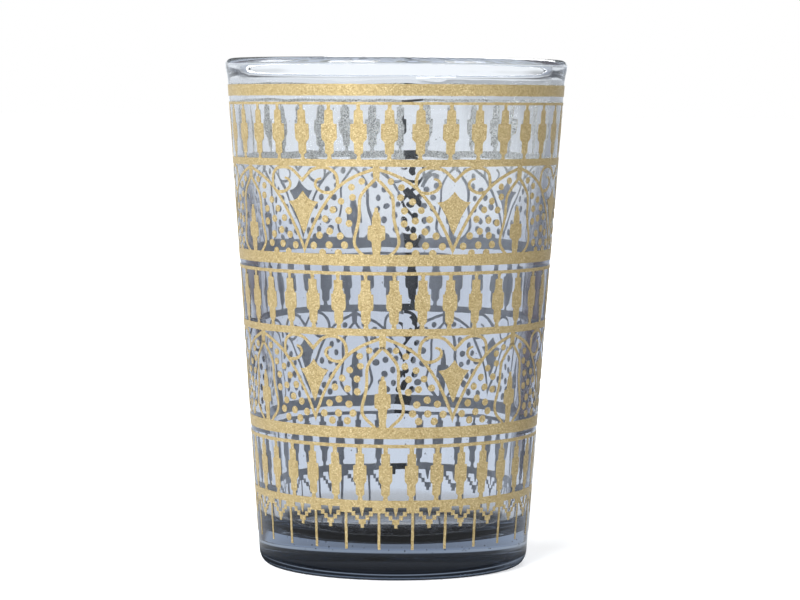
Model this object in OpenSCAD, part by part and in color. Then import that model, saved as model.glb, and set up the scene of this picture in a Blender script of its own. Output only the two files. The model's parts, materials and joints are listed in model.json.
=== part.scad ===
// Moroccan tea glass: a tapered drinking glass with a thick foot, and a fired gold print
// of balusters, arcades and bands on its outside.
// The foot stands on the plane Z = 0 and Z is the axis. Azimuths are counted from -Y
// towards +X, in degrees. Heights in the print are counted down from its upper edge.

/* [Glass] */
// Height from the table to the lip
glass_h = 90.3; // [75:0.1:120]
// Outside diameter of the cone at the height of the lip
rim_d = 60.8; // [54:0.2:72]
// Outside diameter of the cone at the height of the table
base_d = 48; // [42:0.2:54]
// Wall thickness below the lip
rim_wall = 2; // [1.4:0.1:3]
// Wall thickness above the floor fillet
foot_wall = 3.6; // [2:0.1:4.5]
// How far the lip's bead stands proud of the cone
lip_bead = 0.35; // [0.1:0.05:0.8]
// Height over which the bead swells out below the lip
lip_bead_h = 4.4; // [3:0.1:5]
// Thickness of the floor at its centre
floor_t = 6; // [4:0.5:14]
// Radius inside between wall and floor
floor_fillet = 7; // [2:0.5:9]
// Width of the rounding outside between wall and foot
heel_w = 1.5; // [0.75:0.25:3]
// Height of the rounding outside between wall and foot
heel_h = 2.5; // [1:0.25:5]
// Rise of the hollow under the foot
punt_h = 1; // [0.3:0.1:2]
// Width of the flat ring that the glass stands on
foot_ring_w = 4; // [1:0.2:6]

/* [Print registers] */
// Thickness of the fired gold
gold_t = 0.15; // [0.05:0.01:0.3]
// Bare glass between the lip and the print
bare_rim_h = 4.6; // [4.6:0.1:8]
// Height of the three broad bands
band_h = 1.98; // [1:0.02:3]
// Bare gap between a broad band and the line below it
gap_h = 1.06; // [0.5:0.02:2]
// Height of the thin lines
line_h = 0.46; // [0.3:0.02:0.8]
// Height of the baluster rows
baluster_h = 9.26; // [7:0.02:10]
// Height of the narrow bands below the balusters
ring_h = 1.23; // [0.8:0.01:2]
// Height of the arcade, from its apex to its foot
arcade_h = 15.8; // [13:0.1:17]
// How far the middle band covers the foot of the upper arcade
upper_lap = 0.85; // [0:0.05:1.2]
// Height of the stepped chevrons in the hem
chevron_h = 3.5; // [2.5:0.1:4]
// Length of the hem's sticks
stick_h = 7.4; // [5:0.1:8]

/* [Print widths] */
// Width of the drawn lines in the arcades
stroke_w = 0.54; // [0.4:0.02:0.8]
// Width of a baluster's body
body_w = 2.9; // [2:0.05:3.2]
// Width of a baluster's upper and lower blocks
block_w = 1.62; // [1.2:0.02:1.9]
// Width of a baluster's stem
stem_w = 0.66; // [0.4:0.02:0.9]
// Diameter of the dots
dot_d = 1.28; // [0.8:0.02:1.4]
// Width of the hem's sticks
stick_w = 0.62; // [0.4:0.02:0.8]
// Height of one step in the hem's chevrons
step_h = 0.95; // [0.7:0.05:1]
// Hairline between the repeats of the print, too fine to see
hairline_w = 0.03; // [0.02:0.01:0.1]

/* [Print angles] */
// Width of one arcade bay
bay_angle = 54; // [45:1:60]
// Azimuth of an apex in the upper arcade
upper_bay_angle = -6.5; // [-27:0.1:27]
// Azimuth of an apex in the lower arcade
lower_bay_angle = -4.3; // [-27:0.1:27]
// Pitch of the upper balusters
upper_pitch_angle = 10.29; // [9.5:0.01:12]
// Pitch of the middle balusters
middle_pitch_angle = 10.17; // [9.5:0.01:12]
// Pitch of the lower balusters
lower_pitch_angle = 10.11; // [9.5:0.01:12]
// Azimuth of one upper baluster
upper_baluster_angle = -2.1; // [-5:0.1:5]
// Azimuth of one middle baluster
middle_baluster_angle = -0.2; // [-5:0.1:5]
// Azimuth of one lower baluster
lower_baluster_angle = -3.1; // [-5:0.1:5]
// Azimuth of one stick in the hem
stick_angle = -5.7; // [-7:0.1:7]
// Azimuth of the seam where the printed sheet meets itself
seam_angle = 176.1; // [150:0.1:200]

/* [Hidden] */
glass_color = [0.78, 0.83, 0.88, 0.4];
gold_color = [0.83, 0.74, 0.52];
$fn = 96;

// Steps along a drawn curve, and on a rounded edge of the glass
curve_steps = 2;
edge_steps = 10;

rim_r = rim_d / 2;
base_r = base_d / 2;
taper = atan((rim_r - base_r) / glass_h);
// Radius of the outer cone at height z
function cone_r(z) = base_r + (rim_r - base_r) * z / glass_h;

// Edges of the registers, from the top down
print_top = glass_h - bare_rim_h;
rim_band_foot = print_top - band_h;
rim_line_top = rim_band_foot - gap_h;
upper_baluster_top = rim_line_top - line_h;
upper_ring_top = upper_baluster_top - baluster_h;
upper_arcade_top = upper_ring_top - ring_h;
middle_band_top = upper_arcade_top - arcade_h + upper_lap;
middle_band_foot = middle_band_top - band_h;
middle_line_top = middle_band_foot - gap_h;
middle_baluster_top = middle_line_top - line_h;
middle_ring_top = middle_baluster_top - baluster_h;
lower_arcade_top = middle_ring_top - ring_h;
lower_band_top = lower_arcade_top - arcade_h;
lower_band_foot = lower_band_top - band_h;
lower_line_top = lower_band_foot - gap_h;
lower_baluster_top = lower_line_top - line_h;
lower_ring_top = lower_baluster_top - baluster_h;
hem_top = lower_ring_top - ring_h;

full_turn = 360;
half_bay = bay_angle / 2;
hairline_angle = hairline_w / base_r * 180 / PI / 2;
bay_count = ceil(full_turn / bay_angle);
stick_pitch_angle = bay_angle / 4;
seam_start_angle = seam_angle - full_turn;

// A smooth curve through a list of points
function smooth_point(a, b, c, d, t) =
    0.5 * (2 * b + (c - a) * t + (2 * a - 5 * b + 4 * c - d) * t * t
        + (3 * b - a - 3 * c + d) * t * t * t);
function smooth(p) = let (last = len(p) - 1) concat(
    [for (i = [0:last - 1], s = [0:curve_steps - 1])
        smooth_point(p[max(i - 1, 0)], p[i], p[i + 1], p[min(i + 2, last)], s / curve_steps)],
    [p[last]]);

// A closed outline round a centre line: its two sides lie half a width from it
function heading(p, i) = let (d = p[min(i + 1, len(p) - 1)] - p[max(i - 1, 0)]) d / norm(d);
function side(p, offset, tip_share) = [for (i = [0:len(p) - 1])
    let (along_share = i / (len(p) - 1), h = heading(p, i),
        reach = offset * (1 - (1 - tip_share) * pow(along_share, 6)))
    p[i] + reach * [-h[1], h[0]]];
function reversed(p) = [for (i = [len(p) - 1:-1:0]) p[i]];
function stroke(p, tip_share = 1) =
    concat(side(p, stroke_w / 2, tip_share), reversed(side(p, -stroke_w / 2, tip_share)));

// Print coordinates are [distance round the cone, depth below the register's top].
// They are laid on the cone by turning the distance into an azimuth.
function laid(p, top) = [for (q = p)
    let (z = top - q[1], r = cone_r(z), azimuth = q[0] / r * 180 / PI) [r * sin(azimuth), z]];
// Distance round the cone of an azimuth, at a depth below the register's top
function round_at(azimuth, depth, top) = cone_r(top - depth) * azimuth * PI / 180;
// The points of a motif from its bay shares and height shares
function placed(shares, top) = [for (s = shares)
    let (depth = s[1] * arcade_h) [round_at(s[0] * half_bay, depth, top), depth]];

// The film of gold between two heights, on a stretch of the cone
module film(z_low, z_high, from = seam_start_angle, to = seam_angle) {
    rotate([0, 0, from - 90])
        rotate_extrude(angle = to - from)
            polygon([[cone_r(z_low), z_low], [cone_r(z_low) + gold_t, z_low],
                [cone_r(z_high) + gold_t, z_high], [cone_r(z_high), z_high]]);
}

// A closed ring of gold
module ring(z_low, z_high) {
    color(gold_color)
        rotate_extrude()
            polygon([[cone_r(z_low), z_low], [cone_r(z_low) + gold_t, z_low],
                [cone_r(z_high) + gold_t, z_high], [cone_r(z_high), z_high]]);
}

// Its children, drawn on the XZ plane, stand as a block through the front of the cone
block_in = 0.7 * base_r;
block_out = rim_r * 1.1;
module block() {
    translate([0, -block_in, 0])
        rotate([90, 0, 0])
            linear_extrude(block_out - block_in)
                children();
}

// Its children as gold at one azimuth, cut off at the seam
module printed(z_low, z_high, at, reach) {
    from = max(at - reach, seam_start_angle);
    to = min(at + reach, seam_angle);
    if (to > from)
        color(gold_color)
            intersection() {
                film(z_low, z_high, from, to);
                rotate([0, 0, at]) block() children();
            }
}

// Azimuths of the bays whose centre line or edge lies in front of the seam
function bays(at) = [for (k = [-bay_count:bay_count])
    let (a = at + k * bay_angle)
    if (a + half_bay > seam_start_angle && a - half_bay < seam_angle) a];
// Azimuths of the whole motifs between the two sides of the seam
function between_seams(at, pitch, reach) = [for (k = [-ceil(full_turn / pitch):ceil(full_turn / pitch)])
    let (a = at + k * pitch)
    if (a - reach > seam_start_angle && a + reach < seam_angle) a];

// The glass
lip_r = (rim_wall + lip_bead) / 2;
lip_z = glass_h - lip_r;
bead_z = glass_h - lip_bead_h;
fillet_z = floor_t + floor_fillet;
inner_foot_r = cone_r(fillet_z) - foot_wall;
inner_lip_r = cone_r(lip_z) + lip_bead - 2 * lip_r;
// The heel is a quarter of an ellipse that runs smoothly into the cone
heel_turn = -atan(tan(taper) * heel_h / heel_w);
heel_x = cone_r(heel_h * (1 + sin(heel_turn))) - heel_w * cos(heel_turn);
punt_r = heel_x - foot_ring_w;
wall_tilt = atan((inner_lip_r - inner_foot_r) / (lip_z - fillet_z));

function arc(x, z, r_x, r_z, a_start, a_end) = [for (i = [0:edge_steps])
    let (a = a_start + (a_end - a_start) * i / edge_steps) [x + r_x * cos(a), z + r_z * sin(a)]];
// The hollow under the foot, from the axis outwards
punt_points = [for (i = [0:edge_steps])
    let (share = i / edge_steps) [punt_r * share, punt_h * (1 - share * share)]];
// The bead swells from the cone and ends upright under the lip
bead_points = [for (i = [0:edge_steps - 1])
    let (share = i / edge_steps, z = bead_z + (lip_z - bead_z) * share)
    [cone_r(z) + lip_bead * (3 - 2 * share) * share * share, z]];
lip_points = arc(cone_r(lip_z) + lip_bead - lip_r, lip_z, lip_r, lip_r, 0, 180);
// The fillet meets the wall at the wall's tilt and the floor level
fillet_x = inner_foot_r - floor_fillet * cos(wall_tilt);
fillet_points = arc(fillet_x, fillet_z, floor_fillet, floor_fillet, -wall_tilt, -90);

module glass_body() {
    color(glass_color)
        rotate_extrude()
            polygon(concat(punt_points, arc(heel_x, heel_h, heel_w, heel_h, -90, heel_turn),
                bead_points, lip_points, fillet_points, [[0, floor_t]]));
}

module rim_band() { ring(rim_band_foot, print_top); }
module middle_band() { ring(middle_band_foot, middle_band_top); }
module lower_band() { ring(lower_band_foot, lower_band_top); }
module rim_line() { ring(upper_baluster_top, rim_line_top); }
module middle_line() { ring(middle_baluster_top, middle_line_top); }
module lower_line() { ring(lower_baluster_top, lower_line_top); }
module upper_ring() { ring(upper_arcade_top, upper_ring_top); }
module middle_ring() { ring(lower_arcade_top, middle_ring_top); }
module lower_ring() { ring(hem_top, lower_ring_top); }

// Half of a baluster: [width, share of that width's half, share of the row's height]
baluster_shares = [[stem_w, 1, 0], [stem_w, 1, 0.075], [block_w, 1, 0.12],
    [block_w, 1.05, 0.345], [body_w, 0.95, 0.375], [body_w, 1, 0.48], [body_w, 0.95, 0.62],
    [block_w, 1.05, 0.67], [block_w, 0.97, 0.88], [stem_w, 1, 0.925], [stem_w, 1, 0.965],
    [stem_w, 1.6, 1]];
function baluster_side(way) = [for (s = baluster_shares)
    [way * s[0] * s[1] / 2, s[2] * baluster_h]];

module balusters(top, at, pitch) {
    outline = concat(baluster_side(1), reversed(baluster_side(-1)));
    for (a = between_seams(at, pitch, pitch / 2))
        printed(top - baluster_h, top, a, pitch / 2) polygon(laid(outline, top));
}
module upper_balusters() { balusters(upper_baluster_top, upper_baluster_angle, upper_pitch_angle); }
module middle_balusters() { balusters(middle_baluster_top, middle_baluster_angle, middle_pitch_angle); }
module lower_balusters() { balusters(lower_baluster_top, lower_baluster_angle, lower_pitch_angle); }

// Centre lines in the arcade, as [share of half a bay, share of the arcade's height]. Arches
// and scrolls run a little past the bay's edge, where they are cut off square.
arch_shares = [[0, 0.02], [0.16, 0.065], [0.38, 0.165], [0.61, 0.325], [0.8, 0.56],
    [0.92, 0.76], [1.03, 0.94]];
lancet_shares = [[0, -0.02], [0, 0.12], [0.1, 0.21], [0.19, 0.31], [0.218, 0.42],
    [0.224, 0.56], [0.275, 0.73], [0.284, 0.84], [0.225, 0.92], [0.07, 1.03]];
// The spandrel's scroll: from its cusp over the top and down to the arch, then its curl
scroll_shares = [[1.03, 0.18], [0.9, 0.07], [0.74, 0.012], [0.58, 0.035], [0.51, 0.11],
    [0.5, 0.21]];
curl_shares = [[0.5, 0.215], [0.58, 0.278], [0.7, 0.278], [0.795, 0.225], [0.8, 0.16],
    [0.72, 0.13]];
// The finial and the diamond, as outlines of one side
finial_shares = [[0, 0.44], [0.014, 0.445], [0.024, 0.475], [0.042, 0.495], [0.058, 0.515],
    [0.061, 0.6], [0.064, 0.63], [0.1, 0.645], [0.109, 0.66], [0.117, 0.72], [0.115, 0.775],
    [0.1, 0.79], [0.078, 0.8], [0.066, 0.83], [0.063, 0.92], [0.055, 0.965], [0.06, 1]];
diamond_shares = [[1, 0.267], [0.965, 0.305], [0.92, 0.345], [0.86, 0.373], [0.77, 0.384],
    [0.83, 0.44], [0.885, 0.52], [0.93, 0.6], [0.965, 0.68], [1, 0.735]];
dot_shares = [[0.182, 0.158], [0.315, 0.222], [0.304, 0.33], [0.457, 0.375], [0.569, 0.468],
    [0.356, 0.473], [0.68, 0.568], [0.495, 0.582], [0.354, 0.613], [0.622, 0.7],
    [0.768, 0.747], [0.476, 0.75], [0.857, 0.86], [0.634, 0.85], [0.42, 0.848],
    [0.73, 0.935], [0.506, 0.935]];

// Half a bay of the drawn lines
module tracery_half(top) {
    polygon(laid(stroke(smooth(placed(arch_shares, top))), top));
    polygon(laid(stroke(smooth(placed(lancet_shares, top))), top));
    polygon(laid(stroke(smooth(placed(scroll_shares, top))), top));
    polygon(laid(stroke(smooth(placed(curl_shares, top)), 0.6), top));
}

module both_halves() {
    children();
    mirror([1, 0, 0]) children();
}

module tracery(top, foot, at) {
    for (a = bays(at))
        printed(foot, top, a, half_bay - hairline_angle) both_halves() tracery_half(top);
}
module upper_tracery() { tracery(upper_arcade_top, middle_band_top, upper_bay_angle); }
module lower_tracery() { tracery(lower_arcade_top, lower_band_top, lower_bay_angle); }

module finials(top, foot, at) {
    one_side = placed(finial_shares, top);
    other_side = [for (p = reversed(one_side)) [-p[0], p[1]]];
    outline = concat(one_side, other_side);
    for (a = bays(at))
        printed(foot, top, a, half_bay / 4) polygon(laid(outline, top));
}
module upper_finials() { finials(upper_arcade_top, middle_band_top, upper_bay_angle); }
module lower_finials() { finials(lower_arcade_top, lower_band_top, lower_bay_angle); }

module diamonds(top, foot, at) {
    one_side = placed([for (s = diamond_shares) [s[0] - 1, s[1]]], top);
    other_side = [for (p = reversed(one_side)) [-p[0], p[1]]];
    outline = concat(one_side, other_side);
    for (a = bays(at + half_bay))
        printed(foot, top, a, half_bay / 2) polygon(laid(outline, top));
}
module upper_diamonds() { diamonds(upper_arcade_top, middle_band_top, upper_bay_angle); }
module lower_diamonds() { diamonds(lower_arcade_top, lower_band_top, lower_bay_angle); }

// Azimuths and heights of the whole dots between the two sides of the seam
dot_reach = dot_d / base_r * 180 / PI / 2;
function dot_places(top, at) = [for (a = bays(at), way = [-1, 1], s = dot_shares)
    let (azimuth = a + way * s[0] * half_bay)
    if (azimuth - dot_reach > seam_start_angle && azimuth + dot_reach < seam_angle)
    [azimuth, top - s[1] * arcade_h]];

// A dot is a flat disc that lies against the cone; the band below cuts the lowest ones
module dots(top, foot, at) {
    color(gold_color)
        intersection() {
            translate([0, 0, foot]) cylinder(r = block_out, h = top - foot);
            for (place = dot_places(top, at))
                rotate([0, 0, place[0]])
                    translate([0, -cone_r(place[1]), place[1]])
                        rotate([90 + taper, 0, 0])
                            cylinder(d = dot_d, h = gold_t);
        }
}
module upper_dots() { dots(upper_arcade_top, middle_band_top, upper_bay_angle); }
module lower_dots() { dots(lower_arcade_top, lower_band_top, lower_bay_angle); }

// One stepped chevron, as [share of half a pitch, steps down]: its outer side, its inner
// side, and the prong that hangs in it. Its arms are cut off square beside the next ones.
chevron_outer_shares = [[1.04, -0.5], [1.04, 0.75], [0.66, 0.75], [0.66, 1.75], [0.4, 1.75],
    [0.4, 2.7], [0.13, 2.7], [0.13, 3.65]];
chevron_inner_shares = [[0.66, -1], [0.66, 0.7], [0.36, 0.7], [0.36, 1.55], [0.13, 1.65],
    [0.13, 2.55]];
prong_shares = [[0.15, -0.5], [0.14, 0.7], [0.06, 1.25]];
function stepped(shares, way, top) = [for (s = shares)
    let (depth = s[1] * step_h) [way * round_at(s[0] * stick_pitch_angle / 2, depth, top), depth]];

module hem_chevrons() {
    outer = concat(stepped(chevron_outer_shares, 1, hem_top),
        reversed(stepped(chevron_outer_shares, -1, hem_top)));
    inner = concat(stepped(chevron_inner_shares, 1, hem_top),
        reversed(stepped(chevron_inner_shares, -1, hem_top)));
    prong = concat(stepped(prong_shares, 1, hem_top), reversed(stepped(prong_shares, -1, hem_top)));
    reach = stick_pitch_angle / 2;
    for (a = between_seams(stick_angle + reach, stick_pitch_angle, reach))
        printed(hem_top - chevron_h, hem_top, a, reach - hairline_angle) {
            difference() {
                polygon(laid(outer, hem_top));
                polygon(laid(inner, hem_top));
            }
            polygon(laid(prong, hem_top));
        }
}

// A stick starts under the step that joins two chevrons
stick_top = hem_top - 0.75 * step_h;
module hem_sticks() {
    for (a = between_seams(stick_angle, stick_pitch_angle, stick_pitch_angle / 4))
        printed(hem_top - stick_h, stick_top, a, stick_pitch_angle / 4)
            translate([-stick_w / 2, hem_top - stick_h]) square([stick_w, stick_h]);
}

glass_body();
rim_band();
rim_line();
upper_balusters();
upper_ring();
upper_tracery();
upper_finials();
upper_diamonds();
upper_dots();
middle_band();
middle_line();
middle_balusters();
middle_ring();
lower_tracery();
lower_finials();
lower_diamonds();
lower_dots();
lower_band();
lower_line();
lower_balusters();
lower_ring();
hem_chevrons();
hem_sticks();
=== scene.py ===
# %% [markdown]
# # A gilded Moroccan tea glass
#
# The real thing is one body of clear glass with a faint blue-grey tint, a thick foot and a
# rounded lip. A gold print is fired onto its outside: bands, rows of balusters and two arcades
# with a hem of stepped chevrons below. It could be made as one glass with a painted picture
# round it, but then the gold would have no thickness and no back. So each motif is a thin piece
# of its own here. The back of the print is seen through two walls of glass, which is half of
# what such a glass looks like.
#
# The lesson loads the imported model, sets up camera and studio, turns the glass, finishes glass
# and gold, and then draws the print from the rim down to the hem.

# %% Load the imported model
import json
import math
import random

import bpy
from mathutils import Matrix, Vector, noise

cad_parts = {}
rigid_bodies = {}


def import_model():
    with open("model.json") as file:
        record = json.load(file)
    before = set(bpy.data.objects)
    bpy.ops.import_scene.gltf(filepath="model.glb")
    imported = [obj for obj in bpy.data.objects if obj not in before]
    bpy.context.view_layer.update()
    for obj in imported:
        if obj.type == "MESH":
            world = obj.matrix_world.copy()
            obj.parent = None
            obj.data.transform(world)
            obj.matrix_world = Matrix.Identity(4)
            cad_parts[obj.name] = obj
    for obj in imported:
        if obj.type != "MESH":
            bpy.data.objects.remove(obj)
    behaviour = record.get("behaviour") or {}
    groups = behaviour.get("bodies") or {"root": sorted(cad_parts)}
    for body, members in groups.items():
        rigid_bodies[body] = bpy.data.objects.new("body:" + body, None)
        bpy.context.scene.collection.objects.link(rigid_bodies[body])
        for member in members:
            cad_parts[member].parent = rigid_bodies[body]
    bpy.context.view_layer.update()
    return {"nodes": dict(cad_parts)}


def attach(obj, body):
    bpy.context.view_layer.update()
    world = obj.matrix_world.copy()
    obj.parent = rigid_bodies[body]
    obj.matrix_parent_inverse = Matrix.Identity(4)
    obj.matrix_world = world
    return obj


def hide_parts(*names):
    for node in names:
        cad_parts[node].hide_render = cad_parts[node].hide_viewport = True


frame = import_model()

MM = 0.001
nodes = frame["nodes"]
print("packed nodes:", len(nodes))

# %% [markdown]
# Operators act on everything that is selected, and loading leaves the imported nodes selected.
# Forgetting that is the usual reason why a new piece comes out wrong. Two small helpers clear
# the selection before each new piece is started, or pick just one piece.

# %% Selection helpers
def deselect_all():
    bpy.ops.object.select_all(action="DESELECT")


def pick(piece):
    deselect_all()
    piece.select_set(True)
    bpy.context.view_layer.objects.active = piece


# %% [markdown]
# ## The camera
#
# The picture was taken with a long lens from just below the height of the lip, tipped down a
# little. The ellipses of the rim, the bands and the foot open more the lower they are, and from
# how fast they open come the distance and the height. Half a metre from the axis and a 127 mm
# lens give the same ellipses. A ray of light crosses many surfaces here: outer wall, inner
# wall, air, inner wall, outer wall and the bubbles between, so Cycles may bend it 32 times.

# %% Camera
GLASS_H = 90.3 * MM
CAMERA_DISTANCE = 505.9 * MM
CAMERA_HEIGHT = 82.04 * MM
CAMERA_PITCH = 3.948
CAMERA_ROLL = -0.4
FOCAL_PIXELS = 2815.2
PHOTO_W = 800
CENTRE_X = 396.1
SENSOR_W = 36.0

camera_data = bpy.data.cameras.new("camera")
camera_data.sensor_width = SENSOR_W
camera_data.lens = FOCAL_PIXELS / PHOTO_W * SENSOR_W
camera_data.shift_x = (PHOTO_W / 2 - CENTRE_X) / PHOTO_W
camera = bpy.data.objects.new("camera", camera_data)
bpy.context.scene.collection.objects.link(camera)
camera.location = (0, -CAMERA_DISTANCE, CAMERA_HEIGHT)
camera.rotation_euler = (math.radians(90 - CAMERA_PITCH), math.radians(CAMERA_ROLL), 0)
bpy.context.scene.camera = camera
print("lens:", round(camera_data.lens, 1), "mm")

BOUNCES = 32
cycles = bpy.context.scene.cycles
cycles.max_bounces = cycles.transmission_bounces = cycles.glossy_bounces = BOUNCES

# %% [markdown]
# Every finish is built from nodes. They could be wired by hand in the shader editor, and these
# helpers do just that: a new empty material, a new node with its values, and a wire. The owner
# of the nodes is a material or the world.

# %% Node helpers
def new_material(name):
    material = bpy.data.materials.new(name)
    material.use_nodes = True
    material.node_tree.nodes.clear()
    return material


def add(owner, kind, **values):
    node = owner.node_tree.nodes.new(kind)
    for key, value in values.items():
        if key in node.inputs:
            node.inputs[key].default_value = value
        else:
            setattr(node, key, value)
    return node


def join(owner, value, socket):
    if isinstance(value, bpy.types.NodeSocket):
        owner.node_tree.links.new(value, socket)
    else:
        socket.default_value = value


# %% [markdown]
# A finish that changes from place to place needs a little arithmetic on the place. `reckoned`
# is one step of it, `eased` turns a range of one value into a range of another, `tinted` runs a
# value through a row of colours, and the last three mix colours and shaders.

# %% Helpers for values
def parts_of(owner, vector):
    node = add(owner, "ShaderNodeSeparateXYZ")
    join(owner, vector, node.inputs[0])
    return node.outputs


def reckoned(owner, operation, *values):
    node = add(owner, "ShaderNodeMath", operation=operation)
    for value, socket in zip(values, node.inputs):
        join(owner, value, socket)
    return node.outputs[0]


def eased(owner, value, low, high, start=0.0, end=1.0):
    node = add(owner, "ShaderNodeMapRange")
    for number, key in ((low, "From Min"), (high, "From Max"), (start, "To Min"), (end, "To Max")):
        node.inputs[key].default_value = number
    join(owner, value, node.inputs["Value"])
    return node.outputs["Result"]


# %% Helpers for colours and shaders
def tinted(owner, value, tones):
    node = add(owner, "ShaderNodeValToRGB")
    stops = node.color_ramp.elements
    for i, (place, tint) in enumerate(tones):
        stop = stops[i] if i < 2 else stops.new(place)
        stop.position = place
        stop.color = (*tint, 1)
    join(owner, value, node.inputs[0])
    return node.outputs[0]


def mixed(owner, share, first, second):
    node = add(owner, "ShaderNodeMix", data_type="RGBA")
    for value, i in ((share, 0), (first, 6), (second, 7)):
        join(owner, value, node.inputs[i])
    return node.outputs[2]


def blended(owner, share, first, second):
    node = add(owner, "ShaderNodeMixShader")
    for value, socket in zip((share, first, second), node.inputs):
        join(owner, value, socket)
    return node.outputs[0]


def summed(owner, first, second):
    node = add(owner, "ShaderNodeAddShader")
    for value, socket in zip((first, second), node.inputs):
        join(owner, value, socket)
    return node.outputs[0]


# %% [markdown]
# ## The studio
#
# Clear glass has hardly a colour of its own: it shows what stands round it, bent. A thin wall
# shows what is behind it, and the thick foot and the lip show what is far above or below. A
# plain white dome would make the whole glass white and lose its edges. A photographer sets a
# bright wall behind the glass and keeps the rest of the room dim, so that the edges turn dark.
# The dome here does the same: bright low down at the horizon, dim above, dimmer in front, and
# with a soft bright wall on the left. The camera itself sees it plain white.

# %% The dome's colours, by height
PALE = (0.93, 0.965, 1.0)
SKY = [(0.0, PALE), (0.075, PALE), (0.115, (0.075, 0.077, 0.083)), (0.3, (0.035, 0.035, 0.038))]
bpy.context.scene.view_settings.view_transform = "Standard"
world = bpy.data.worlds.new("studio")
bpy.context.scene.world = world
world.use_nodes = True
world.node_tree.nodes.clear()
look_x, look_y, look_z = parts_of(world, add(world, "ShaderNodeTexCoord").outputs["Generated"])
dome = tinted(world, look_z, SKY)
print("bright up to", round(math.degrees(math.asin(SKY[1][0])), 1), "degrees")

# %% The bright wall on the left
WALL_GLOW = 0.6
WALL_SIDE = (0.6, 0.9)
WALL_TOP = (0.1, 0.55)
at_left = eased(world, reckoned(world, "MULTIPLY", look_x, -1.0), *WALL_SIDE, 0.0, WALL_GLOW)
not_above = eased(world, look_z, *WALL_TOP, 1.0, 0.0)
dome = mixed(world, reckoned(world, "MULTIPLY", at_left, not_above), dome, (*PALE, 1))

# %% The dim front, and what the camera sees
FRONT_SHARE, BACK_SHARE = 0.25, 1.07
FRONT_TO_BACK = (-0.5, 0.2)
WHITE = (1, 1, 1, 1)
room = add(world, "ShaderNodeBackground")
join(world, dome, room.inputs["Color"])
join(world, eased(world, look_y, *FRONT_TO_BACK, FRONT_SHARE, BACK_SHARE), room.inputs["Strength"])
white = add(world, "ShaderNodeBackground", Color=WHITE, Strength=1.0)
camera_ray = add(world, "ShaderNodeLightPath").outputs["Is Camera Ray"]
world_out = add(world, "ShaderNodeOutputWorld")
join(world, blended(world, camera_ray, room.outputs[0], white.outputs[0]),
    world_out.inputs["Surface"])

# %% [markdown]
# ## The floor
#
# The glass stands on a pale table in front of a lit sheet. Seen through the glass, the floor
# near the foot is what the foot shows, and the floor far behind is what the walls show. So for
# every ray but the camera's the floor is a glow that changes with the distance from the foot: a
# painted black shadow under the foot, where no light comes, a painted soft shadow that stays
# pale round it, and a bluer white further off. The lit sheet has two edges, and what lies beyond
# them draws the grey strips just inside the glass's two sides. The camera sees the floor itself
# white, with the soft shadow of the glass on it.

# %% The floor's plane
FLOOR_SIZE = 40.0
FLOOR_GAP = 0.05 * MM
deselect_all()
bpy.ops.mesh.primitive_plane_add(size=FLOOR_SIZE, location=(0, 0, -FLOOR_GAP))
floor = bpy.context.object
floor.name = "floor"

# %% The floor's glow and painted shadow, by distance
# Painted shadow: the glow is black under the foot and dimmer close round it, for the glass's shade
# on the floor
GLOW_AND_PAINTED_SHADOW = [(0.026, (0.0, 0.0, 0.0)), (0.034, (0.58, 0.61, 0.64)), (0.055, (0.64, 0.67, 0.72)),
    (0.085, (0.78, 0.85, 0.96)), (0.13, (0.78, 0.85, 0.96)), (0.4, (0.68, 0.74, 0.85)),
    (0.7, (0.65, 0.71, 0.82)), (1.0, (0.89, 0.935, 0.985))]
table = new_material("white table")
table_at = add(table, "ShaderNodeTexCoord").outputs["Object"]
table_x, table_y = parts_of(table, table_at)[:2]
away = add(table, "ShaderNodeVectorMath", operation="LENGTH")
join(table, table_at, away.inputs[0])
distance = away.outputs["Value"]
glow = tinted(table, distance, GLOW_AND_PAINTED_SHADOW)

# %% Beyond the edges of the lit sheet
OFF_SHEET = (0.17, 0.155, 0.18, 1)
OFF_SHEET_FAR = 0.15
SHEET_SHIFT = 0.03
SHEET_SPREAD = 0.24
SHEET_EDGE = (0.085, 0.115)
BEHIND = (0.0, 0.06)
NEAR_BY = (0.38, 0.7)
across = reckoned(table, "ABSOLUTE", reckoned(table, "ADD", table_x, SHEET_SHIFT))
past_edge = reckoned(table, "MULTIPLY_ADD", table_y, -SHEET_SPREAD, across)
off_sheet = reckoned(table, "MULTIPLY", eased(table, past_edge, *SHEET_EDGE),
    eased(table, table_y, *BEHIND))
near_by = eased(table, distance, *NEAR_BY, 1.0, OFF_SHEET_FAR)
glow = mixed(table, reckoned(table, "MULTIPLY", off_sheet, near_by), glow, OFF_SHEET)

# %% Dimmer toward the front and on the right
FRONT_FLOOR, FRONT_EDGE = 0.45, (-0.12, 0.03)
FAR_OFF = (0.11, 0.25)
RIGHT_FLOOR, RIGHT_EDGE = 0.6, (0.12, 0.4)
front = eased(table, table_y, *FRONT_EDGE, FRONT_FLOOR, 1.0)
glow_share = reckoned(table, "MAXIMUM", front, eased(table, distance, *FAR_OFF))
right = eased(table, table_x, *RIGHT_EDGE, 1.0, RIGHT_FLOOR)
glowing = add(table, "ShaderNodeEmission")
join(table, glow, glowing.inputs["Color"])
join(table, reckoned(table, "MULTIPLY", glow_share, right), glowing.inputs["Strength"])

# %% The floor that the camera sees
NEAR_WHITE, FAR_WHITE = 0.42, 1.1
WHITE_RISE = (0.1, 1.0)
TABLE_COLOUR = (0.8, 0.82, 0.85, 1)
paint = add(table, "ShaderNodeBsdfDiffuse", Color=TABLE_COLOUR)
whitened = add(table, "ShaderNodeEmission")
join(table, eased(table, distance, *WHITE_RISE, NEAR_WHITE, FAR_WHITE), whitened.inputs["Strength"])
seen = summed(table, paint.outputs[0], whitened.outputs[0])
camera_ray = add(table, "ShaderNodeLightPath").outputs["Is Camera Ray"]
table_out = add(table, "ShaderNodeOutputMaterial")
join(table, blended(table, camera_ray, glowing.outputs[0], seen), table_out.inputs["Surface"])
floor.data.materials.append(table)
print("floor nodes:", len(table.node_tree.nodes))

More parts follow.
